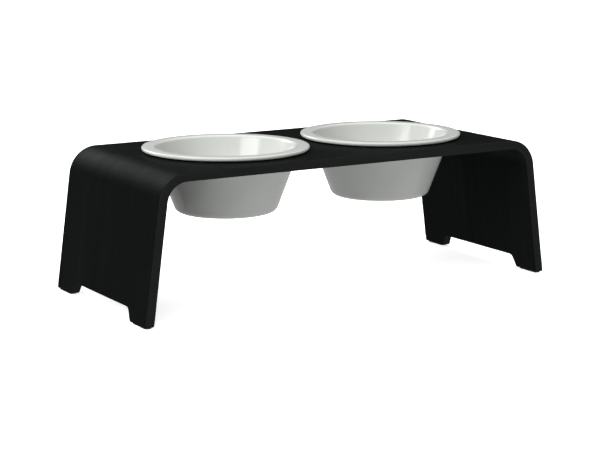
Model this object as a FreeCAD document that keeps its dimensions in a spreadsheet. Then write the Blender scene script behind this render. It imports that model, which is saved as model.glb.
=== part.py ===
import FreeCAD, Part
import math
import os
import Sketcher

# Dog feeding station: a moulded plywood bench on splayed legs that holds two porcelain bowls.
# Lengths are millimetres and angles are degrees. The origin is on the floor under the middle of the
# bench, +X runs along the bench, -Y is its front and +Z is up.

SIZES = {
    # Bowl
    "rim_diameter": 200,
    "rim_thickness": 4.5,
    "rim_overhang": 12,  # outside of the wall to the edge of the rim
    "rim_edge_radius": 2,
    "base_diameter": 120,  # outside of the wall, run on to the underside
    "bowl_drop": 74.5,  # underside of the rim to the underside of the bowl
    "bowl_wall": 6.4,  # measured level
    "bowl_floor": 6,
    "lip_radius": 4,  # inner edge of the rim
    "inside_corner_radius": 18,
    "base_corner_radius": 9,
    "neck_fillet_radius": 1.8,  # under the rim
    "foot_ring_width": 6,
    "foot_ring_height": 1.4,
    "foot_ring_edge_radius": 0.6,
    # Fit of the bowls in the board
    "hole_clearance": 1,  # round the neck of a bowl
    "bumper_diameter": 7,  # silicone dot that carries a rim
    "bumper_height": 1.5,
    "bumper_edge_radius": 0.5,
    "rim_gap": 21,  # from rim to rim
    "end_margin": 14.2,  # from a rim to the start of the bend
    "side_margin": 19.5,  # from a rim to the front and rear edges
    # Bench
    "bench_height": 172,  # floor to the top of the board
    "veneer_thickness": 1.2,  # one veneer of the laminate
    "splay_angle": 7.9,  # lean of each leg from upright
    "inner_bend_radius": 25,  # bend on the inside of the laminate
    "edge_ease_radius": 0.8,  # eased edges of the two face veneers
    # Feet, two on a leg, and the gap between them
    "foot_width": 40.5,  # at the leg end
    "foot_gap_height": 14.6,  # above the leg end
    "foot_gap_angle": 27.5,  # lean of the gap's sides from upright
    "foot_gap_corner_radius": 7,  # upper corners of the gap
    "foot_corner_radius": 2.2,  # corners of the feet
    # Anti-slip pad under each foot
    "foot_pad_thickness": 1.5,
    "foot_pad_inset": 1.2,  # from the flat of the foot all round
    "foot_pad_corner_radius": 2.5,
    "foot_pad_edge_radius": 0.4,
    # Run of every cut past the face that it opens
    "cut_overrun": 5,
}

# The veneers from the inside of the bench to its outside.
CORE_PLY_COUNT = 7
PLY_NAMES = ["inner_face_veneer"]
PLY_NAMES += [f"core_ply_{number}" for number in range(CORE_PLY_COUNT, 0, -1)]
PLY_NAMES += ["outer_face_veneer"]

BUMPERS_PER_BOWL = 4
LEFT_AND_RIGHT = {"left": -1, "right": 1}
FRONT_AND_REAR = {"front": -1, "rear": 1}

# Most of a wall that a rounded edge may take.
EASE_LIMIT_SHARE = 0.75
RIM_EDGE_LIMIT_SHARE = 0.45

# Numbers by which a sketch knows its own axes, and the points of a line or an arc.
V_AXIS, H_AXIS = range(-2, 0)
START, END, CENTRE = range(1, 4)

SAME_PLACE = 1e-4

doc = FreeCAD.newDocument("feeding_station")
sheet = doc.addObject("Spreadsheet::Sheet", "Sizes")
for row, (alias, number) in enumerate(SIZES.items(), start=1):
    sheet.set(f"A{row}", alias)
    sheet.set(f"B{row}", str(number))
    sheet.setAlias(f"B{row}", alias)
doc.recompute()

# Sizes that follow from the driving ones
RIM_RADIUS = "(Sizes.rim_diameter / 2)"
NECK_RADIUS = f"({RIM_RADIUS} - Sizes.rim_overhang)"
RIM_EDGE_RADIUS = f"min(Sizes.rim_edge_radius; {RIM_EDGE_LIMIT_SHARE} * Sizes.rim_thickness)"
HOLE_RADIUS = f"({NECK_RADIUS} + Sizes.hole_clearance)"
BUMPER_RING_RADIUS = f"(({HOLE_RADIUS} + {RIM_RADIUS}) / 2)"
SEAT_Z = "(Sizes.bench_height + Sizes.bumper_height)"
BOWL_X = f"({RIM_RADIUS} + Sizes.rim_gap / 2)"
BENCH_DEPTH = "(Sizes.rim_diameter + 2 * Sizes.side_margin)"
BOARD = f"({len(PLY_NAMES)} * Sizes.veneer_thickness)"
OUTER_BEND_RADIUS = f"(Sizes.inner_bend_radius + {BOARD})"
BEND_X = f"({BOWL_X} + {RIM_RADIUS} + Sizes.end_margin)"
BEND_Z = f"(Sizes.bench_height - {OUTER_BEND_RADIUS})"
LEG_END_Z = "Sizes.foot_pad_thickness"
LEG_END_WIDTH = f"({BOARD} / cos(Sizes.splay_angle))"
EASE_RADIUS = f"min(Sizes.edge_ease_radius; {EASE_LIMIT_SHARE} * Sizes.veneer_thickness)"
FOOT_GAP_HALF_WIDTH = f"({BENCH_DEPTH} / 2 - Sizes.foot_width)"
FOOT_GAP_TOP_Z = f"({LEG_END_Z} + Sizes.foot_gap_height)"


def leg_end_x(radius):
    """Expression for how far out the face with this bend radius meets the leg end."""
    drop = f"({BEND_Z} - {LEG_END_Z})"
    return f"({BEND_X} + {radius} / cos(Sizes.splay_angle) + {drop} * tan(Sizes.splay_angle))"


def value(expression):
    """Number that an expression of the sheet's sizes has now."""
    return float(sheet.evalExpression(expression))


def point(x_expression, y_expression):
    return FreeCAD.Vector(value(x_expression), value(y_expression), 0)


def new_body(name):
    body = doc.addObject("PartDesign::Body", name)
    body.Label = name
    return body


def new_sketch(body, name, plane_role):
    """Empty sketch on one of the body's own origin planes."""
    sketch = body.newObject("Sketcher::SketchObject", name)
    for feature in body.Origin.OriginFeatures:
        if feature.Role == plane_role:
            sketch.AttachmentSupport = [(feature, "")]
    sketch.MapMode = "FlatFace"
    return sketch


def bind(sketch, kind, *references, to):
    """Dimension in a sketch that follows an expression of the sheet's sizes."""
    start_value = math.radians(value(to)) if kind == "Angle" else value(to)
    index = sketch.addConstraint(Sketcher.Constraint(kind, *references, start_value))
    sketch.setExpression(f"Constraints[{index}]", to)


def add_profile(sketch, corners):
    """Closed run of straight lines through corners that are given as pairs of expressions."""
    places = [point(x, y) for x, y in corners]
    count = len(corners)
    lines = [
        sketch.addGeometry(Part.LineSegment(places[index], places[(index + 1) % count]))
        for index in range(count)
    ]
    for index in range(count):
        following = lines[(index + 1) % count]
        sketch.addConstraint(Sketcher.Constraint("Coincident", lines[index], END, following, START))
    for line, (x, y) in zip(lines, corners):
        bind(sketch, "DistanceX", H_AXIS, START, line, START, to=x)
        bind(sketch, "DistanceY", H_AXIS, START, line, START, to=y)


def add_cut(body, name, sketch):
    """Cut through the whole body, to both sides of the sketch."""
    before = body.Tip.Shape.Volume
    pocket = body.newObject("PartDesign::Pocket", name)
    pocket.Profile = sketch
    pocket.Type = "ThroughAll"
    pocket.SideType = "Symmetric"
    doc.recompute()
    if pocket.Shape.Volume >= before:
        raise RuntimeError(f"{body.Label}: {name} cuts nothing")
    return pocket


def add_fillet(body, name, radius, wanted):
    """Rounds the edges of the body so far that the test 'wanted' picks."""
    base = body.Tip
    names = [f"Edge{number}" for number, edge in enumerate(base.Shape.Edges, start=1) if wanted(edge)]
    fillet = body.newObject("PartDesign::Fillet", name)
    fillet.Base = (base, names)
    fillet.setExpression("Radius", radius)
    doc.recompute()


def middle(edge):
    return edge.valueAt((edge.FirstParameter + edge.LastParameter) / 2)


def is_near(first, second):
    return abs(first - second) < SAME_PLACE


def runs_along_x(edge):
    return isinstance(edge.Curve, Part.Line) and is_near(abs(edge.Curve.Direction.x), 1)


def runs_along_z(edge):
    return isinstance(edge.Curve, Part.Line) and is_near(abs(edge.Curve.Direction.z), 1)


# Bench

def add_bent_contour(sketch, radius):
    """One face of a veneer in section: left leg, bend, top, bend and right leg. Returns the five numbers."""
    splay = math.radians(value("Sizes.splay_angle"))
    reach = value(radius)
    bend_x = value(BEND_X)
    bend_z = value(BEND_Z)
    leg_x = bend_x + reach * math.cos(splay)
    leg_z = bend_z + reach * math.sin(splay)
    end_x = value(leg_end_x(radius))
    end_z = value(LEG_END_Z)
    top_z = bend_z + reach
    normal = FreeCAD.Vector(0, 0, 1)
    left_bend = Part.Circle(FreeCAD.Vector(-bend_x, bend_z, 0), normal, reach)
    right_bend = Part.Circle(FreeCAD.Vector(bend_x, bend_z, 0), normal, reach)
    quarter = math.pi / 2
    left_leg_line = Part.LineSegment(FreeCAD.Vector(-end_x, end_z, 0), FreeCAD.Vector(-leg_x, leg_z, 0))
    top_line = Part.LineSegment(FreeCAD.Vector(-bend_x, top_z, 0), FreeCAD.Vector(bend_x, top_z, 0))
    right_leg_line = Part.LineSegment(FreeCAD.Vector(leg_x, leg_z, 0), FreeCAD.Vector(end_x, end_z, 0))
    left_leg = sketch.addGeometry(left_leg_line)
    left_arc = sketch.addGeometry(Part.ArcOfCircle(left_bend, quarter, math.pi - splay))
    top = sketch.addGeometry(top_line)
    right_arc = sketch.addGeometry(Part.ArcOfCircle(right_bend, splay, quarter))
    right_leg = sketch.addGeometry(right_leg_line)
    sketch.addConstraint(Sketcher.Constraint("Tangent", left_leg, END, left_arc, END))
    sketch.addConstraint(Sketcher.Constraint("Tangent", left_arc, START, top, START))
    sketch.addConstraint(Sketcher.Constraint("Tangent", top, END, right_arc, END))
    sketch.addConstraint(Sketcher.Constraint("Tangent", right_arc, START, right_leg, START))
    sketch.addConstraint(Sketcher.Constraint("Equal", left_arc, right_arc))
    bind(sketch, "Radius", right_arc, to=radius)
    return left_leg, left_arc, top, right_arc, right_leg


def draw_ply_section(sketch, inner_radius, outer_radius):
    """Bent section of a veneer, symmetric about the middle of the bench, with level leg ends."""
    left_leg, left_arc, _, right_arc, right_leg = add_bent_contour(sketch, inner_radius)
    bind(sketch, "DistanceX", H_AXIS, START, right_arc, CENTRE, to=BEND_X)
    bind(sketch, "DistanceY", H_AXIS, START, right_arc, CENTRE, to=BEND_Z)
    sketch.addConstraint(Sketcher.Constraint("Symmetric", left_arc, CENTRE, right_arc, CENTRE, V_AXIS))
    bind(sketch, "Angle", left_leg, to="90 - Sizes.splay_angle")
    bind(sketch, "Angle", right_leg, to="Sizes.splay_angle - 90")
    bind(sketch, "DistanceY", H_AXIS, START, left_leg, START, to=LEG_END_Z)
    bind(sketch, "DistanceY", H_AXIS, START, right_leg, END, to=LEG_END_Z)

    outer_contour = add_bent_contour(sketch, outer_radius)
    outer_left_leg, outer_left_arc, _, outer_right_arc, outer_right_leg = outer_contour
    sketch.addConstraint(Sketcher.Constraint("Coincident", left_arc, CENTRE, outer_left_arc, CENTRE))
    sketch.addConstraint(Sketcher.Constraint("Coincident", right_arc, CENTRE, outer_right_arc, CENTRE))
    sketch.addConstraint(Sketcher.Constraint("Parallel", left_leg, outer_left_leg))
    sketch.addConstraint(Sketcher.Constraint("Parallel", right_leg, outer_right_leg))

    leg_ends = ((left_leg, START, outer_left_leg, START), (right_leg, END, outer_right_leg, END))
    for inner_leg, inner_end, outer_leg, outer_end in leg_ends:
        inner_corner = sketch.getPoint(inner_leg, inner_end)
        outer_corner = sketch.getPoint(outer_leg, outer_end)
        leg_end = sketch.addGeometry(Part.LineSegment(inner_corner, outer_corner))
        sketch.addConstraint(Sketcher.Constraint("Coincident", leg_end, START, inner_leg, inner_end))
        sketch.addConstraint(Sketcher.Constraint("Coincident", leg_end, END, outer_leg, outer_end))
        sketch.addConstraint(Sketcher.Constraint("Horizontal", leg_end))


def draw_bowl_holes(sketch):
    """Two round holes for the bowls."""
    circles = []
    for side in LEFT_AND_RIGHT.values():
        centre = point(f"{side} * {BOWL_X}", "0")
        circle = Part.Circle(centre, FreeCAD.Vector(0, 0, 1), value(HOLE_RADIUS))
        circles.append(sketch.addGeometry(circle))
    left_hole, right_hole = circles
    sketch.addConstraint(Sketcher.Constraint("PointOnObject", right_hole, CENTRE, H_AXIS))
    sketch.addConstraint(Sketcher.Constraint("Symmetric", left_hole, CENTRE, right_hole, CENTRE, V_AXIS))
    sketch.addConstraint(Sketcher.Constraint("Equal", left_hole, right_hole))
    bind(sketch, "DistanceX", H_AXIS, START, right_hole, CENTRE, to=BOWL_X)
    bind(sketch, "Radius", right_hole, to=HOLE_RADIUS)


def draw_foot_gap(sketch):
    """Gap between the feet, wider at the floor, run on below the leg end."""
    side_lean = "tan(Sizes.foot_gap_angle)"
    half_top = f"({FOOT_GAP_HALF_WIDTH} - Sizes.foot_gap_height * {side_lean})"
    half_bottom = f"({FOOT_GAP_HALF_WIDTH} + Sizes.cut_overrun * {side_lean})"
    bottom_z = f"({LEG_END_Z} - Sizes.cut_overrun)"
    corners = [
        (f"-{half_bottom}", bottom_z),
        (half_bottom, bottom_z),
        (half_top, FOOT_GAP_TOP_Z),
        (f"-{half_top}", FOOT_GAP_TOP_Z),
    ]
    add_profile(sketch, corners)


def bend_line():
    """Line through both bend axes and down inside the legs, from which each face keeps its bend radius."""
    splay = math.radians(value("Sizes.splay_angle"))
    bend_x = value(BEND_X)
    bend_z = value(BEND_Z)
    foot_x = bend_x + bend_z * math.tan(splay)
    run = [(-foot_x, 0), (-bend_x, bend_z), (bend_x, bend_z), (foot_x, 0)]
    return Part.makePolygon([FreeCAD.Vector(x, 0, z) for x, z in run])


def make_ply(index, name):
    """One bent veneer with the bowl holes and the gaps between its feet."""
    inner_radius = f"(Sizes.inner_bend_radius + {index} * Sizes.veneer_thickness)"
    outer_radius = f"({inner_radius} + Sizes.veneer_thickness)"
    body = new_body(name)

    section = new_sketch(body, "section", "XZ_Plane")
    draw_ply_section(section, inner_radius, outer_radius)
    sheet_pad = body.newObject("PartDesign::Pad", "bent_sheet")
    sheet_pad.Profile = section
    sheet_pad.SideType = "Symmetric"
    sheet_pad.setExpression("Length", BENCH_DEPTH)
    doc.recompute()

    holes = new_sketch(body, "bowl_holes", "XY_Plane")
    draw_bowl_holes(holes)
    add_cut(body, "bowl_hole_cut", holes)

    gap = new_sketch(body, "foot_gap", "YZ_Plane")
    draw_foot_gap(gap)
    add_cut(body, "foot_gap_cut", gap)

    gap_top = value(FOOT_GAP_TOP_Z)
    leg_end = value(LEG_END_Z)
    add_fillet(body, "gap_corners", "Sizes.foot_gap_corner_radius",
               lambda edge: runs_along_x(edge) and is_near(middle(edge).z, gap_top))
    add_fillet(body, "foot_corners", "Sizes.foot_corner_radius",
               lambda edge: runs_along_x(edge) and is_near(middle(edge).z, leg_end))
    return body


def ease_face(body, face_radius):
    """Eases the edges all round one face of a veneer, which lies at one distance from the bend line."""
    line = bend_line()
    reach = value(face_radius)

    def on_face(edge):
        places = [middle(edge)] + [vertex.Point for vertex in edge.Vertexes]
        in_section = [Part.Vertex(place.x, 0, place.z) for place in places]
        return all(is_near(line.distToShape(vertex)[0], reach) for vertex in in_section)

    add_fillet(body, "eased_edges", EASE_RADIUS, on_face)


def make_bench():
    plies = [make_ply(index, name) for index, name in enumerate(PLY_NAMES)]
    ease_face(plies[0], "Sizes.inner_bend_radius")
    ease_face(plies[-1], OUTER_BEND_RADIUS)
    return plies


# Foot pads

def make_foot_pad(end_name, end, side_name, side):
    """Flat pad on the level end of one foot, inside its rounded corners."""
    gap_corner = "Sizes.foot_corner_radius * tan((90 + Sizes.foot_gap_angle) / 2)"
    near_y = f"({FOOT_GAP_HALF_WIDTH} + {gap_corner} + Sizes.foot_pad_inset)"
    far_y = f"({BENCH_DEPTH} / 2 - Sizes.foot_corner_radius - Sizes.foot_pad_inset)"
    half_width = f"({LEG_END_WIDTH} / 2 - Sizes.foot_pad_inset)"
    half_length = f"(({far_y} - {near_y}) / 2)"
    middle_radius = f"(Sizes.inner_bend_radius + {BOARD} / 2)"

    body = new_body(f"{end_name}_{side_name}_foot_pad")
    outline = new_sketch(body, "outline", "XY_Plane")
    corners = [
        (f"-{half_width}", f"-{half_length}"),
        (half_width, f"-{half_length}"),
        (half_width, half_length),
        (f"-{half_width}", half_length),
    ]
    add_profile(outline, corners)
    pad = body.newObject("PartDesign::Pad", "pad")
    pad.Profile = outline
    pad.setExpression("Length", "Sizes.foot_pad_thickness")
    doc.recompute()
    add_fillet(body, "corners", "Sizes.foot_pad_corner_radius", runs_along_z)
    add_fillet(body, "lower_edge", "Sizes.foot_pad_edge_radius", lambda edge: is_near(middle(edge).z, 0))

    body.setExpression("Placement.Base.x", f"{side} * {leg_end_x(middle_radius)}")
    body.setExpression("Placement.Base.y", f"{end} * ({near_y} + {far_y}) / 2")
    return body


# Bowls

def draw_bowl_section(sketch):
    """Half section of a bowl with sharp corners. Height 0 is the underside of the rim."""
    slope = f"(({NECK_RADIUS} - Sizes.base_diameter / 2) / Sizes.bowl_drop)"
    floor_z = "(Sizes.bowl_floor - Sizes.bowl_drop)"
    inside_neck = f"({NECK_RADIUS} - Sizes.bowl_wall)"
    ring_bore = "(Sizes.base_diameter / 2 - Sizes.base_corner_radius - Sizes.foot_ring_width)"
    recess_z = "(Sizes.foot_ring_height - Sizes.bowl_drop)"
    corners = {
        "floor_middle": ("0", floor_z),
        "inside_corner": (f"{inside_neck} + {slope} * {floor_z}", floor_z),
        "lip": (f"{inside_neck} + {slope} * Sizes.rim_thickness", "Sizes.rim_thickness"),
        "rim_top": (RIM_RADIUS, "Sizes.rim_thickness"),
        "rim_underside": (RIM_RADIUS, "0"),
        "neck": (NECK_RADIUS, "0"),
        "base_corner": ("Sizes.base_diameter / 2", "-Sizes.bowl_drop"),
        "foot_ring": (ring_bore, "-Sizes.bowl_drop"),
        "recess_corner": (ring_bore, recess_z),
        "recess_middle": ("0", recess_z),
    }
    add_profile(sketch, list(corners.values()))
    return corners


def make_bowl(name, side):
    """Porcelain bowl that hangs by its rim, with its foot ring below the board."""
    body = new_body(name)
    section = new_sketch(body, "section", "XZ_Plane")
    corners = draw_bowl_section(section)
    turned = body.newObject("PartDesign::Revolution", "turned_form")
    turned.Profile = section
    turned.ReferenceAxis = (section, ["V_Axis"])
    doc.recompute()

    roundings = {
        "neck": "Sizes.neck_fillet_radius",
        "base_corner": "Sizes.base_corner_radius",
        "inside_corner": "Sizes.inside_corner_radius",
        "lip": "Sizes.lip_radius",
        "foot_ring": "Sizes.foot_ring_edge_radius",
        "rim_top": RIM_EDGE_RADIUS,
        "rim_underside": RIM_EDGE_RADIUS,
    }
    for corner, radius in roundings.items():
        place = point(*corners[corner])

        def at_corner(edge):
            is_round = isinstance(edge.Curve, Part.Circle)
            return is_round and is_near(edge.Curve.Radius, place.x) and is_near(middle(edge).z, place.y)

        add_fillet(body, f"round_{corner}", radius, at_corner)

    body.setExpression("Placement.Base.x", f"{side} * {BOWL_X}")
    body.setExpression("Placement.Base.z", SEAT_Z)
    return body


def make_bumper(bowl_name, side, number):
    """Silicone dot on the board, under the rim of a bowl."""
    body = new_body(f"{bowl_name}_bumper_{number}")
    dot = body.newObject("PartDesign::AdditiveCylinder", "dot")
    dot.setExpression("Radius", "Sizes.bumper_diameter / 2")
    dot.setExpression("Height", "Sizes.bumper_height")
    doc.recompute()
    top = value("Sizes.bumper_height")
    add_fillet(body, "upper_edge", "Sizes.bumper_edge_radius", lambda edge: is_near(middle(edge).z, top))

    turn = 360 / BUMPERS_PER_BOWL
    angle = turn * number - turn / 2
    body.setExpression("Placement.Base.x", f"{side} * {BOWL_X} + {BUMPER_RING_RADIUS} * cos({angle})")
    body.setExpression("Placement.Base.y", f"{BUMPER_RING_RADIUS} * sin({angle})")
    body.setExpression("Placement.Base.z", "Sizes.bench_height")
    return body


# Assembly

pieces = make_bench()
for end_name, end in FRONT_AND_REAR.items():
    for side_name, side in LEFT_AND_RIGHT.items():
        pieces.append(make_foot_pad(end_name, end, side_name, side))
for side_name, side in LEFT_AND_RIGHT.items():
    bowl_name = f"{side_name}_bowl"
    pieces.append(make_bowl(bowl_name, side))
    for number in range(1, BUMPERS_PER_BOWL + 1):
        pieces.append(make_bumper(bowl_name, side, number))
doc.recompute()

for item in doc.Objects:
    if "Invalid" in item.State or "Error" in item.State:
        raise RuntimeError(f"{item.Label} did not build: {item.State}")
for piece in pieces:
    if piece.Shape.isNull() or not piece.Shape.isValid() or len(piece.Shape.Solids) != 1:
        raise RuntimeError(f"{piece.Label} is not one sound solid")

os.makedirs("parts", exist_ok=True)
for piece in pieces:
    piece.Shape.exportStep(f"parts/{piece.Label}.step")
    print(f"{piece.Label}: {piece.Shape.Volume:.1f} mm3")
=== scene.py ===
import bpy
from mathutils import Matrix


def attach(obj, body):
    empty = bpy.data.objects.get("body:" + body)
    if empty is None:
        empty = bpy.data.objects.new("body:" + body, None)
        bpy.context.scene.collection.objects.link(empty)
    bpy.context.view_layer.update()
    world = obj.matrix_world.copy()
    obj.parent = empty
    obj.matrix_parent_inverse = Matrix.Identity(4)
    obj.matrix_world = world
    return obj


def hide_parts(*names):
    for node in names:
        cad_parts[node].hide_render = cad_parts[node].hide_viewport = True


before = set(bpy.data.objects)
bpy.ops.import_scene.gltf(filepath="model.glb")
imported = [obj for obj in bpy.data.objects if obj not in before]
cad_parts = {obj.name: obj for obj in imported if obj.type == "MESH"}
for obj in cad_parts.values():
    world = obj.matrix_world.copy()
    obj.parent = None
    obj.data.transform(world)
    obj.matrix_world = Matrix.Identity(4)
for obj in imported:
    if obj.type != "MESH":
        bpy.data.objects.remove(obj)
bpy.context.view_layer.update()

import math

import bmesh
import bpy
from mathutils import Matrix, Vector

MM = 0.001

# Bench, in millimetres: a laminate bent round two axes, with level leg ends.
BEND_X = 224.7
BEND_Z = 136.2
INNER_BEND_RADIUS = 25
VENEER = 1.2
SPLAY = math.radians(7.9)
HALF_DEPTH = 119.5
LEG_END_Z = 1.5
EASE_RADIUS = 0.8
PLY_LINE_DEPTH = 0.1
HOLE_RADIUS = 89
BOWL_X = 110.5
CORE_PLIES = [f"core_ply_{number}" for number in range(7, 0, -1)]
PLIES = ["inner_face_veneer", *CORE_PLIES, "outer_face_veneer"]

# Feet of a leg and the gap between them.
GAP_HALF_WIDTH = 79
GAP_HEIGHT = 14.6
GAP_ANGLE = math.radians(27.5)
GAP_CORNER_RADIUS = 7
FOOT_CORNER_RADIUS = 2.2

# Bench mesh: how many steps each stretch has, and the shares of the way at which lines cross top and legs.
# Beyond the fan share, the lines on a leg spread from even spacing to their ends on its lower edge.
LEG_FAN_SHARE = 0.82
GAP_TOP_STEPS = 13
GAP_CORNER_STEPS = 6
GAP_SIDE_STEPS = 3
FOOT_CORNER_STEPS = 5
FOOT_END_STEPS = 8
OUTER_CORNER_STEPS = 6
TOP_STEPS = 46
BEND_STEPS = 14
EASE_STEPS = 5
FACE_TOP_SHARES = (0, 0.13, 0.36, 0.66, 1)
FACE_LEG_SHARES = (0.3, 0.6, LEG_FAN_SHARE, 0.94, 1)
CORE_TOP_SHARES = (0, 1)
CORE_LEG_SHARES = (LEG_FAN_SHARE, 1)
TOLERANCE = 1e-6

# Bowl, with height 0 at the underside of its rim.
SEAT_Z = 173.5
BOWL_OUTLINE = [
    # radius, height, rounding
    (55.855, -68.5, 18),
    (83.291, 4.5, 4),
    (100, 4.5, 2),
    (100, 0, 2),
    (88, 0, 1.8),
    (60, -74.5, 9),
    (45, -74.5, 0.6),
    (45, -73.1, 0.5),
]
FLOOR_HEIGHT = -68.5
RECESS_HEIGHT = -73.1
RING_HEIGHT = -74.3
FLOOR_RADII = (6, 14, 24)
RECESS_RADII = (30, 14, 6, 0)
LARGE_ROUNDING = 5
LARGE_ROUNDING_STEPS = 12
SMALL_ROUNDING_STEPS = 8
BOWL_SEGMENTS = 160

# Camera: place and turn that match the photograph's view.
LENS = 105.1997
AZIMUTH = math.radians(-31.4342)
ELEVATION = math.radians(11.0613)
ROLL = math.radians(-0.0425)
DISTANCE = 2156.9465
AIM_HEIGHT = 86
OFFSET_RIGHT = -6.0443
OFFSET_UP = -15.8609
SENSOR_WIDTH = 36
FAR_LIMIT = 100

# Studio light: brightness of the surroundings from straight down (0) to straight up (1), then floor and wall.
SKY_LEVELS = [(0.0, 0.38), (0.45, 0.36), (0.5, 0.01), (0.72, 0.02), (0.85, 0.7), (1.0, 1.9)]
SKY_STRENGTH = 1.54
FLOOR_GLOW = 0.62
WALL_GLOW = 1
WALL_RADIUS = 15
WALL_HEIGHT = 15
WALL_SIDES = 64

# Soft lights: direction from the object, then distance, width and height in metres, and power in watts.
LIGHT_AIM = (0, 0, 0.1)
SOFTBOXES = {
    "key_softbox": ((-0.872, -0.166, 0.452), 1.8, 0.94, 0.79, 19.5),
    "back_softbox": ((-0.25, 0.84, 0.47), 2.6, 1.7, 0.85, 29),
    "front_softbox": ((0.3, -0.95, 0.0), 2.6, 2.0, 0.4, 16),
}

# Values between which most of a noise lies.
NOISE_RANGE = (0.3, 0.7)

# Wood: tones from dark to light, and scales of its noises as counts per metre along and across the grain.
WOOD_STOPS = (0.3, 0.55, 0.75)
FACE_TONES = [(0.0025, 0.0029, 0.0028), (0.0037, 0.0044, 0.0043), (0.0059, 0.0069, 0.0067)]
# Inner face veneer: the same stain as the outer face, painted lighter as painted fill light on the shaded
# inner sides of the legs and the underside.
INNER_TONES_WITH_PAINTED_FILL = [(0.0037, 0.0043, 0.0041), (0.0055, 0.0064, 0.0063), (0.0087, 0.0101, 0.0098)]
# Cut edges and core plies: lighter than the faces, partly because the cut plies take the stain lighter and
# partly as painted light standing in for light on the front edges and the gap faces.
EDGE_TONES_WITH_PAINTED_LIGHT = [(0.0124, 0.0133, 0.0129), (0.0174, 0.0185, 0.018), (0.0238, 0.0251, 0.0244)]
FIGURE_SCALE = (2.2, 26)
STREAK_SCALE = (7, 420)
PORE_SCALE = (95, 2600)
FLECK_SCALE = (60, 700)
FIGURE_TONE = 0.45
STREAK_TONE = 0.55
PORE_TONE = 0.12
STREAK_RELIEF = 0.5
FLECK_RELIEF = 1.6
PORE_RANGE = (0.6, 0.7)
WOOD_ROUGHNESS = (0.52, 0.42)
WOOD_SPECULAR = 0.012
GRAIN_DEPTH = 0.00006

# Porcelain: tones at noise values, and scales of its noises as counts per metre.
GLAZE_STOPS = [(0.2, (0.52, 0.533, 0.51)), (0.45, (0.543, 0.559, 0.534)), (0.7, (0.556, 0.571, 0.545))]
GLAZE_ROUGHNESS = (0.11, 0.15)
GLAZE_SPECULAR = 0.33
CLOUD_SCALE = 24
RIPPLE_SCALE = 420
SPECK_SCALE = 900
SPECK_RANGE = (0.74, 0.8)
SPECK_TONE = 0.5
RIPPLE_RELIEF = 0.06
WAVE_DEPTH = 0.0002
BARE_STOPS = [(0.3, (0.5, 0.48, 0.44)), (0.7, (0.62, 0.6, 0.56))]
BARE_ROUGHNESS = (0.75, 0.9)
GRIT_SCALE = 1600
GRIT_DEPTH = 0.0001

# Rubber and paper.
SILICONE_STOPS = [(0.35, (0.02, 0.02, 0.02)), (0.7, (0.034, 0.034, 0.033))]
SILICONE_ROUGHNESS = (0.42, 0.57)
SILICONE_DEPTH = 0.00003
PAD_STOPS = [(0.35, (0.02, 0.02, 0.019)), (0.7, (0.04, 0.039, 0.037))]
PAD_ROUGHNESS = (0.66, 0.81)
PAD_DEPTH = 0.00012
RUBBER_GRAIN_SCALE = 2400
DUST_SCALE = 160
PAPER_STOPS = [(0.3, (0.93, 0.93, 0.93)), (0.7, (0.95, 0.95, 0.95))]
PAPER_ROUGHNESS = 0.9
PAPER_SPECULAR = 0.1
HAZE_SCALE = 1.5


def spread(start, end, count):
    """Evenly spaced values from start to end, both included."""
    return [start + (end - start) * step / count for step in range(count + 1)]


def round_corner(before, corner, after, radius, steps):
    """Points of the arc that rounds a corner of a flat outline."""
    corner = Vector(corner)
    inward = (Vector(before) - corner).normalized()
    onward = (Vector(after) - corner).normalized()
    half = inward.angle(onward) / 2
    reach = radius / math.tan(half)
    centre = corner + (inward + onward).normalized() * (radius / math.sin(half))
    first = corner + inward * reach - centre
    last = corner + onward * reach - centre
    turn = first.angle_signed(last)
    return [centre + Matrix.Rotation(-turn * step / steps, 2) @ first for step in range(steps + 1)]


# Materials

class Nodes:
    """Node tree of a new material, with a short way to add and join nodes."""

    def __init__(self, name):
        self.material = bpy.data.materials.new(name)
        self.material.use_nodes = True
        self.tree = self.material.node_tree
        self.shader = self.tree.nodes["Principled BSDF"]

    def add(self, kind, inputs=None, **settings):
        node = self.tree.nodes.new(kind)
        for key, value in settings.items():
            setattr(node, key, value)
        for key, value in (inputs or {}).items():
            self.put(node.inputs[key], value)
        return node

    def put(self, socket, value):
        if isinstance(value, bpy.types.NodeSocket):
            self.tree.links.new(value, socket)
        else:
            socket.default_value = value

    def noise(self, place, scale, detail, roughness=0.5, distortion=0.0):
        """Noise value over a coordinate that is first scaled along each axis."""
        scaled = self.add("ShaderNodeMapping", {"Vector": place, "Scale": scale})
        settings = {"Vector": scaled.outputs["Vector"], "Scale": 1.0, "Detail": detail}
        settings.update({"Roughness": roughness, "Distortion": distortion})
        return self.add("ShaderNodeTexNoise", settings).outputs["Fac"]

    def ranged(self, value, low, high, to_low, to_high):
        inputs = {"Value": value, "From Min": low, "From Max": high, "To Min": to_low, "To Max": to_high}
        return self.add("ShaderNodeMapRange", inputs).outputs["Result"]

    def math(self, operation, first, second):
        node = self.add("ShaderNodeMath", operation=operation)
        self.put(node.inputs[0], first)
        self.put(node.inputs[1], second)
        return node.outputs["Value"]

    def ramp(self, value, stops):
        node = self.add("ShaderNodeValToRGB", {"Fac": value})
        band = node.color_ramp
        while len(band.elements) < len(stops):
            band.elements.new(1.0)
        for element, (position, colour) in zip(band.elements, stops):
            element.position = position
            element.color = (*colour, 1.0)
        return node.outputs["Color"]

    def bump(self, height, distance, strength):
        inputs = {"Height": height, "Distance": distance, "Strength": strength}
        self.put(self.shader.inputs["Normal"], self.add("ShaderNodeBump", inputs).outputs["Normal"])

    def set(self, **values):
        for key, value in values.items():
            self.put(self.shader.inputs[key.replace("_", " ")], value)


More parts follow.
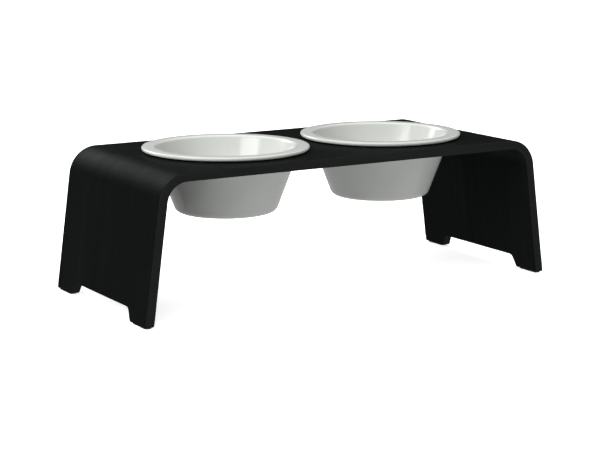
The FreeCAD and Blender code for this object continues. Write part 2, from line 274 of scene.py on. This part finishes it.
def stained_wood(name, tones, crosswise=False):
    """Black stain on open grain under a thin satin lacquer. The grain runs along the bent length."""
    nodes = Nodes(name)
    grain = nodes.add("ShaderNodeAttribute", attribute_name="grain").outputs["Vector"]

    def along(scale):
        length, across = scale
        return (across, length, across) if crosswise else (length, across, across)

    figure = nodes.noise(grain, along(FIGURE_SCALE), detail=3, distortion=0.8)
    streaks = nodes.noise(grain, along(STREAK_SCALE), detail=5, roughness=0.6, distortion=0.2)
    pores = nodes.noise(grain, along(PORE_SCALE), detail=2)
    flecks = nodes.noise(grain, along(FLECK_SCALE), detail=2)
    cut_pores = nodes.ranged(pores, *PORE_RANGE, 0.0, 1.0)
    figure_tone = nodes.math("MULTIPLY", figure, FIGURE_TONE)
    shade = nodes.math("ADD", figure_tone, nodes.math("MULTIPLY", streaks, STREAK_TONE))
    shade = nodes.math("SUBTRACT", shade, nodes.math("MULTIPLY", cut_pores, PORE_TONE))
    nodes.set(Base_Color=nodes.ramp(shade, list(zip(WOOD_STOPS, tones))))
    nodes.set(Roughness=nodes.ranged(shade, *NOISE_RANGE, *WOOD_ROUGHNESS))
    nodes.set(Specular_IOR_Level=WOOD_SPECULAR)
    relief = nodes.math("SUBTRACT", nodes.math("MULTIPLY", streaks, STREAK_RELIEF), cut_pores)
    relief = nodes.math("ADD", relief, nodes.math("MULTIPLY", flecks, FLECK_RELIEF))
    nodes.bump(relief, distance=GRAIN_DEPTH, strength=0.7)
    return nodes.material


def porcelain():
    """White glaze with slow waves in its gloss."""
    nodes = Nodes("white_porcelain_glaze")
    place = nodes.add("ShaderNodeTexCoord").outputs["Object"]
    clouds = nodes.noise(place, (CLOUD_SCALE,) * 3, detail=3)
    ripples = nodes.noise(place, (RIPPLE_SCALE,) * 3, detail=2)
    specks = nodes.noise(place, (SPECK_SCALE,) * 3, detail=1)
    shade = nodes.math("SUBTRACT", clouds, nodes.ranged(specks, *SPECK_RANGE, 0.0, SPECK_TONE))
    nodes.set(Base_Color=nodes.ramp(shade, GLAZE_STOPS))
    nodes.set(Roughness=nodes.ranged(ripples, *NOISE_RANGE, *GLAZE_ROUGHNESS))
    nodes.set(Specular_IOR_Level=GLAZE_SPECULAR)
    waves = nodes.math("ADD", clouds, nodes.math("MULTIPLY", ripples, RIPPLE_RELIEF))
    nodes.bump(waves, distance=WAVE_DEPTH, strength=0.25)
    return nodes.material


def biscuit():
    """Unglazed porcelain of the foot ring."""
    nodes = Nodes("unglazed_foot_ring")
    place = nodes.add("ShaderNodeTexCoord").outputs["Object"]
    grit = nodes.noise(place, (GRIT_SCALE,) * 3, detail=4, roughness=0.7)
    nodes.set(Base_Color=nodes.ramp(grit, BARE_STOPS))
    nodes.set(Roughness=nodes.ranged(grit, *NOISE_RANGE, *BARE_ROUGHNESS))
    nodes.bump(grit, distance=GRIT_DEPTH, strength=0.5)
    return nodes.material


def rubber(name, stops, roughness, depth):
    """Soft black rubber with a fine moulded grain."""
    nodes = Nodes(name)
    place = nodes.add("ShaderNodeTexCoord").outputs["Object"]
    grain = nodes.noise(place, (RUBBER_GRAIN_SCALE,) * 3, detail=3, roughness=0.6)
    dust = nodes.noise(place, (DUST_SCALE,) * 3, detail=4)
    nodes.set(Base_Color=nodes.ramp(dust, stops))
    nodes.set(Roughness=nodes.ranged(grain, *NOISE_RANGE, *roughness))
    nodes.bump(grain, distance=depth, strength=0.6)
    return nodes.material


def pale_paper(name, glow):
    """Pale paper of the studio, lit from behind so that shadows on it stay faint."""
    nodes = Nodes(name)
    place = nodes.add("ShaderNodeTexCoord").outputs["Object"]
    haze = nodes.noise(place, (HAZE_SCALE,) * 3, detail=2)
    nodes.set(Base_Color=nodes.ramp(haze, PAPER_STOPS))
    nodes.set(Roughness=PAPER_ROUGHNESS, Specular_IOR_Level=PAPER_SPECULAR)
    nodes.set(Emission_Color=(1.0, 1.0, 1.0, 1.0), Emission_Strength=glow)
    return nodes.material


# Bench

MID_RADIUS = INNER_BEND_RADIUS + VENEER * len(PLIES) / 2
BEND_ANGLE = math.pi / 2 - SPLAY
BEND_LENGTH = BEND_ANGLE * MID_RADIUS


def foot_profile():
    """Right half of the lower edge of a leg, from the middle of the gap to the outside of the foot."""
    gap_top = LEG_END_Z + GAP_HEIGHT
    half_top = GAP_HALF_WIDTH - GAP_HEIGHT * math.tan(GAP_ANGLE)
    middle = (0, gap_top)
    gap_corner = (half_top, gap_top)
    foot_corner = (GAP_HALF_WIDTH, LEG_END_Z)
    outer_corner = (HALF_DEPTH, LEG_END_Z)
    side = (HALF_DEPTH, gap_top)
    outline = [Vector((y, gap_top)) for y in spread(0, half_top - GAP_CORNER_RADIUS, GAP_TOP_STEPS)]
    outline += round_corner(middle, gap_corner, foot_corner, GAP_CORNER_RADIUS, GAP_CORNER_STEPS)
    foot = round_corner(gap_corner, foot_corner, outer_corner, FOOT_CORNER_RADIUS, FOOT_CORNER_STEPS)
    outline += [outline[-1].lerp(foot[0], share) for share in spread(0, 1, GAP_SIDE_STEPS)[1:-1]]
    outer = round_corner(foot_corner, outer_corner, side, FOOT_CORNER_RADIUS, OUTER_CORNER_STEPS)
    outline += foot
    outline += [foot[-1].lerp(outer[0], share) for share in spread(0, 1, FOOT_END_STEPS)[1:-1]]
    outline += outer
    return outline


def bench_columns():
    """Lines along the board, by how far back each one lies, with its end on a leg's lower edge."""
    outline = foot_profile()
    travelled = [0]
    for place, following in zip(outline, outline[1:]):
        travelled.append(travelled[-1] + (following - place).length)
    columns = {}
    for place, length in zip(outline, travelled):
        y = round(HALF_DEPTH * length / travelled[-1], 6)
        columns[y] = (place.x, place.y)
        columns[-y] = (-place.x, place.y)
    return dict(sorted(columns.items()))


COLUMNS = bench_columns()


def leg_length(y):
    """Length of a column from the bend to the edge of the leg, in the middle of the board."""
    return (BEND_Z + MID_RADIUS * math.sin(SPLAY) - COLUMNS[y][1]) / math.cos(SPLAY)


def place_on_bench(run, y, radius):
    """Point of the bent board: how far along its length from the middle, which column, and at what radius."""
    side = math.copysign(1, run)
    beyond = abs(run) - BEND_X
    if beyond <= 0:
        return Vector((run, y, BEND_Z + radius))
    if beyond <= BEND_LENGTH + TOLERANCE:
        angle = beyond / MID_RADIUS
        return Vector((side * (BEND_X + radius * math.sin(angle)), y, BEND_Z + radius * math.cos(angle)))
    share = (beyond - BEND_LENGTH) / leg_length(y)
    foot_y, foot_z = COLUMNS[y]
    top_z = BEND_Z + radius * math.sin(SPLAY)
    z = top_z + share * (foot_z - top_z)
    x = BEND_X + radius / math.cos(SPLAY) + (BEND_Z - z) * math.tan(SPLAY)
    shift = max(0, (share - LEG_FAN_SHARE) / (1 - LEG_FAN_SHARE))
    return Vector((side * x, y + (foot_y - y) * shift, z))


class Sheet:
    """Flat pattern of the board: places along and across it, and the quads between them."""

    def __init__(self, top_shares, leg_shares):
        self.places = []
        self.numbers = {}
        self.quads = []
        for side in (-1, 1):
            self.add_top(side, top_shares)
            self.add_leg(side, leg_shares)

    def number(self, run, y):
        key = (round(run, 5), round(y, 5))
        if key not in self.numbers:
            self.numbers[key] = len(self.places)
            self.places.append((run, y))
        return self.numbers[key]

    def add_grid(self, lines, flip):
        for line, following in zip(lines, lines[1:]):
            for index in range(len(line) - 1):
                quad = [line[index], line[index + 1], following[index + 1], following[index]]
                self.quads.append(quad[::-1] if flip else quad)

    def add_top(self, side, top_shares):
        """Rings that widen from a bowl hole to the edges of its half of the top."""
        runs = spread(0, BEND_X, TOP_STEPS)
        rows = list(COLUMNS)
        rim = [(BEND_X, y) for y in rows]
        rim += [(run, HALF_DEPTH) for run in reversed(runs[:-1])]
        rim += [(0, y) for y in reversed(rows[:-1])]
        rim += [(run, -HALF_DEPTH) for run in runs[1:]]
        rings = []
        for share in top_shares:
            ring = []
            for run, y in rim:
                reach = math.hypot(run - BOWL_X, y)
                hole = (BOWL_X + (run - BOWL_X) * HOLE_RADIUS / reach, y * HOLE_RADIUS / reach)
                at = (hole[0] + (run - hole[0]) * share, hole[1] + (y - hole[1]) * share)
                ring.append(self.number(side * at[0], y if share == 1 else at[1]))
            rings.append(ring)
        self.add_grid(rings, flip=side > 0)

    def add_leg(self, side, leg_shares):
        lines = []
        for beyond in spread(0, BEND_LENGTH, BEND_STEPS):
            lines.append([self.number(side * (BEND_X + beyond), y) for y in COLUMNS])
        start = BEND_X + BEND_LENGTH
        for share in leg_shares:
            lines.append([self.number(side * (start + share * leg_length(y)), y) for y in COLUMNS])
        self.add_grid(lines, flip=side > 0)

    def border(self):
        """Directed edges that only one quad has."""
        edges = {(quad[k - 1], quad[k]) for quad in self.quads for k in range(4)}
        return sorted(edge for edge in edges if edge[::-1] not in edges)


def outward_on_bench(run):
    """Unit vector straight out of the bent board."""
    side = math.copysign(1, run)
    angle = min(max(0, abs(run) - BEND_X) / MID_RADIUS, BEND_ANGLE)
    return Vector((side * math.sin(angle), 0, math.cos(angle)))


def make_ply(name, sheet, index, face_material, edge_material):
    """One veneer: the flat pattern bent at its two radii, with rounded edges and walls all round."""
    radii = [INNER_BEND_RADIUS + VENEER * (index + step) for step in (0, 1)]
    eased = {"inner_face_veneer": 0, "outer_face_veneer": 1}.get(name)
    border = sheet.border()
    after = dict(border)
    before = {second: first for first, second in border}
    outward = [outward_on_bench(run) for run, y in sheet.places]
    flat = [[place_on_bench(run, y, radius) for run, y in sheet.places] for radius in radii]
    places, normals, grain, faces, is_edge = [], [], [], [], []

    def add(place, normal, number, radius):
        places.append(place * MM)
        normals.append(normal)
        grain.append(Vector((sheet.places[number][0], place.y, radius)) * MM)
        return len(places) - 1

    last_rings = []
    for layer, (radius, facing) in enumerate(zip(radii, (-1, 1))):
        ease = EASE_RADIUS if layer == eased else PLY_LINE_DEPTH
        steps = EASE_STEPS if layer == eased else 1
        rings = [{} for step in range(steps + 1)]
        vertices = []
        for number, place in enumerate(flat[layer]):
            face_normal = outward[number] * facing
            if number not in after:
                vertices.append(add(place, face_normal, number, radius))
                continue
            ahead = (flat[layer][after[number]] - flat[layer][before[number]]).normalized()
            inward = outward[number].cross(ahead)
            across = (flat[1 - layer][number] - place).normalized()
            for step, ring in enumerate(rings):
                turn = math.pi / 2 * step / steps
                at = place + inward * ease * (1 - math.sin(turn)) + across * ease * (1 - math.cos(turn))
                normal = face_normal * math.cos(turn) - inward * math.sin(turn)
                ring[number] = add(at, normal, number, radius)
            vertices.append(rings[0][number])
        for quad in sheet.quads:
            faces.append([vertices[number] for number in quad[::facing]])
            is_edge.append(False)
        for step, (ring, following) in enumerate(zip(rings, rings[1:])):
            for first, second in border:
                band = [ring[second], ring[first], following[first], following[second]]
                faces.append(band[::facing])
                is_edge.append(step >= steps // 2)
        last_rings.append(rings[-1])
    inner, outer = last_rings
    faces += [[outer[second], outer[first], inner[first], inner[second]] for first, second in border]
    is_edge += [True] * len(border)

    mesh = bpy.data.meshes.new(name)
    mesh.from_pydata(places, [], faces)
    mesh.polygons.foreach_set("use_smooth", [True] * len(faces))
    mesh.normals_split_custom_set_from_vertices(normals)
    attribute = mesh.attributes.new("grain", "FLOAT_VECTOR", "POINT")
    attribute.data.foreach_set("vector", [part for place in grain for part in place])
    mesh.materials.append(face_material)
    mesh.materials.append(edge_material)
    mesh.polygons.foreach_set("material_index", [int(edge) for edge in is_edge])
    ply = bpy.data.objects.new(f"{name}_wood", mesh)
    bpy.context.scene.collection.objects.link(ply)
    return ply


def make_bench():
    """The nine veneers. Every second core ply has its grain across the board."""
    # The inner face veneer carries painted fill light: its tones are lighter than the outer face's.
    face_woods = {
        "inner_face_veneer": stained_wood("black_stained_inner_face_painted_fill", INNER_TONES_WITH_PAINTED_FILL),
        "outer_face_veneer": stained_wood("black_stained_face", FACE_TONES),
    }
    # The edges of all plies are painted lighter: partly the cut plies' own lighter stain, partly painted
    # light on the front edges.
    long_wood = stained_wood("black_stained_core_painted_light", EDGE_TONES_WITH_PAINTED_LIGHT)
    cross_wood = stained_wood("black_stained_cross_core_painted_light", EDGE_TONES_WITH_PAINTED_LIGHT, crosswise=True)
    face_sheet = Sheet(FACE_TOP_SHARES, FACE_LEG_SHARES)
    core_sheet = Sheet(CORE_TOP_SHARES, CORE_LEG_SHARES)
    for index, name in enumerate(PLIES):
        is_face = name in face_woods
        core_wood = cross_wood if index % 2 else long_wood
        sheet = face_sheet if is_face else core_sheet
        ply = make_ply(name, sheet, index, face_woods.get(name, core_wood), core_wood)
        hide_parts(name)
        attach(ply, "bench")


# Bowls

def bowl_profile():
    """Half section of a bowl from the middle of its floor, over the rim, to the middle of its underside."""
    corners = [(0, FLOOR_HEIGHT)] + [corner[:2] for corner in BOWL_OUTLINE] + [(0, RECESS_HEIGHT)]
    outline = [Vector((0, FLOOR_HEIGHT))]
    outline += [Vector((radius, FLOOR_HEIGHT)) for radius in FLOOR_RADII]
    for index, (radius, height, rounding) in enumerate(BOWL_OUTLINE, start=1):
        steps = LARGE_ROUNDING_STEPS if rounding > LARGE_ROUNDING else SMALL_ROUNDING_STEPS
        outline += round_corner(corners[index - 1], (radius, height), corners[index + 1], rounding, steps)
    outline += [Vector((radius, RECESS_HEIGHT)) for radius in RECESS_RADII]
    return outline


def make_bowl(side_name, side, glaze, ring):
    """Turned bowl with its own rounded lip, rim and foot ring."""
    name = f"{side_name}_bowl"
    mesh = bpy.data.meshes.new(name)
    form = bmesh.new()
    outline = bowl_profile()
    rings = []
    for place in outline:
        radius, height = place * MM
        if radius == 0:
            rings.append([form.verts.new((0, 0, height))] * BOWL_SEGMENTS)
            continue
        turns = [math.tau * step / BOWL_SEGMENTS for step in range(BOWL_SEGMENTS)]
        rings.append([form.verts.new((radius * math.cos(t), radius * math.sin(t), height)) for t in turns])
    for index, (lower, upper) in enumerate(zip(rings, rings[1:])):
        is_ring = max(outline[index].y, outline[index + 1].y) < RING_HEIGHT
        for step in range(BOWL_SEGMENTS):
            after = (step + 1) % BOWL_SEGMENTS
            corners = [lower[step], upper[step], upper[after], lower[after]]
            face = form.faces.new(list(dict.fromkeys(corners)))
            face.smooth = True
            face.material_index = 1 if is_ring else 0
    form.to_mesh(mesh)
    form.free()
    mesh.materials.append(glaze)
    mesh.materials.append(ring)
    bowl = bpy.data.objects.new(f"{name}_porcelain", mesh)
    bowl.location = (side * BOWL_X * MM, 0, SEAT_Z * MM)
    bpy.context.scene.collection.objects.link(bowl)
    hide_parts(name)
    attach(bowl, name)


# Rubber pieces keep their CAD shapes.

def dress_rubber_pieces():
    silicone = rubber("black_silicone", SILICONE_STOPS, SILICONE_ROUGHNESS, SILICONE_DEPTH)
    pad_rubber = rubber("black_pad_rubber", PAD_STOPS, PAD_ROUGHNESS, PAD_DEPTH)
    for name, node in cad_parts.items():
        material = silicone if "bumper" in name else pad_rubber if "foot_pad" in name else None
        if material:
            node.data.materials.clear()
            node.data.materials.append(material)


# Studio

def add_camera():
    back = Vector((
        math.sin(AZIMUTH) * math.cos(ELEVATION),
        -math.cos(AZIMUTH) * math.cos(ELEVATION),
        math.sin(ELEVATION),
    ))
    level = Vector((math.cos(AZIMUTH), math.sin(AZIMUTH), 0))
    upright = back.cross(level)
    right = level * math.cos(ROLL) + upright * math.sin(ROLL)
    up = upright * math.cos(ROLL) - level * math.sin(ROLL)
    place = Vector((0, 0, AIM_HEIGHT)) + right * OFFSET_RIGHT + up * OFFSET_UP + back * DISTANCE
    data = bpy.data.cameras.new("photo_camera")
    data.lens = LENS
    data.sensor_fit = "HORIZONTAL"
    data.sensor_width = SENSOR_WIDTH
    data.clip_end = FAR_LIMIT
    camera = bpy.data.objects.new("photo_camera", data)
    turn = Matrix((right, up, back)).transposed().to_4x4()
    camera.matrix_world = Matrix.Translation(place * MM) @ turn
    bpy.context.scene.collection.objects.link(camera)
    bpy.context.scene.camera = camera


def add_stage(name, places, faces, glow):
    """Sheet of paper that shows behind the object and takes its shadow, but sends no light back to it."""
    mesh = bpy.data.meshes.new(name)
    mesh.from_pydata(places, [], faces)
    mesh.materials.append(pale_paper(name, glow))
    stage = bpy.data.objects.new(name, mesh)
    stage.visible_diffuse = False
    stage.visible_glossy = False
    stage.visible_shadow = False
    bpy.context.scene.collection.objects.link(stage)


def add_floor_and_wall():
    """Round floor with an upright wall along its edge."""
    turns = [math.tau * step / WALL_SIDES for step in range(WALL_SIDES)]
    foot = [(math.cos(turn) * WALL_RADIUS, math.sin(turn) * WALL_RADIUS, 0) for turn in turns]
    head = [(x, y, WALL_HEIGHT) for x, y, z in foot]
    add_stage("floor", foot, [list(range(WALL_SIDES))], FLOOR_GLOW)
    sides = [(step, (step + 1) % WALL_SIDES) for step in range(WALL_SIDES)]
    panels = [(first, second, second + WALL_SIDES, first + WALL_SIDES) for first, second in sides]
    add_stage("wall", foot + head, panels, WALL_GLOW)


def add_softbox(name, direction, distance, width, height, power):
    """Soft light that faces the object from a direction."""
    data = bpy.data.lights.new(name, "AREA")
    data.shape = "RECTANGLE"
    data.size = width
    data.size_y = height
    data.energy = power
    toward = Vector(direction).normalized()
    light = bpy.data.objects.new(name, data)
    light.location = Vector(LIGHT_AIM) + toward * distance
    light.rotation_euler = toward.to_track_quat("Z", "Y").to_euler()
    bpy.context.scene.collection.objects.link(light)


def add_world():
    """Soft light from above that dims towards the horizon, with a little from below."""
    world = bpy.data.worlds.new("studio")
    world.use_nodes = True
    tree = world.node_tree
    direction = tree.nodes.new("ShaderNodeTexCoord").outputs["Generated"]
    parts = tree.nodes.new("ShaderNodeSeparateXYZ")
    tree.links.new(direction, parts.inputs["Vector"])
    height = tree.nodes.new("ShaderNodeMapRange")
    height.inputs["From Min"].default_value = -1.0
    tree.links.new(parts.outputs["Z"], height.inputs["Value"])
    glow = tree.nodes.new("ShaderNodeValToRGB")
    band = glow.color_ramp
    while len(band.elements) < len(SKY_LEVELS):
        band.elements.new(1.0)
    for element, (position, level) in zip(band.elements, SKY_LEVELS):
        element.position = position
        element.color = (level, level, level, 1.0)
    tree.links.new(height.outputs["Result"], glow.inputs["Fac"])
    backdrop = tree.nodes["Background"]
    tree.links.new(glow.outputs["Color"], backdrop.inputs["Color"])
    backdrop.inputs["Strength"].default_value = SKY_STRENGTH
    bpy.context.scene.world = world


make_bench()
glaze = porcelain()
unglazed = biscuit()
for side_name, side in (("left", -1), ("right", 1)):
    make_bowl(side_name, side, glaze, unglazed)
dress_rubber_pieces()
add_camera()
add_floor_and_wall()
add_world()
for light_name, settings in SOFTBOXES.items():
    add_softbox(light_name, *settings)
bpy.context.scene.view_settings.view_transform = "Standard"
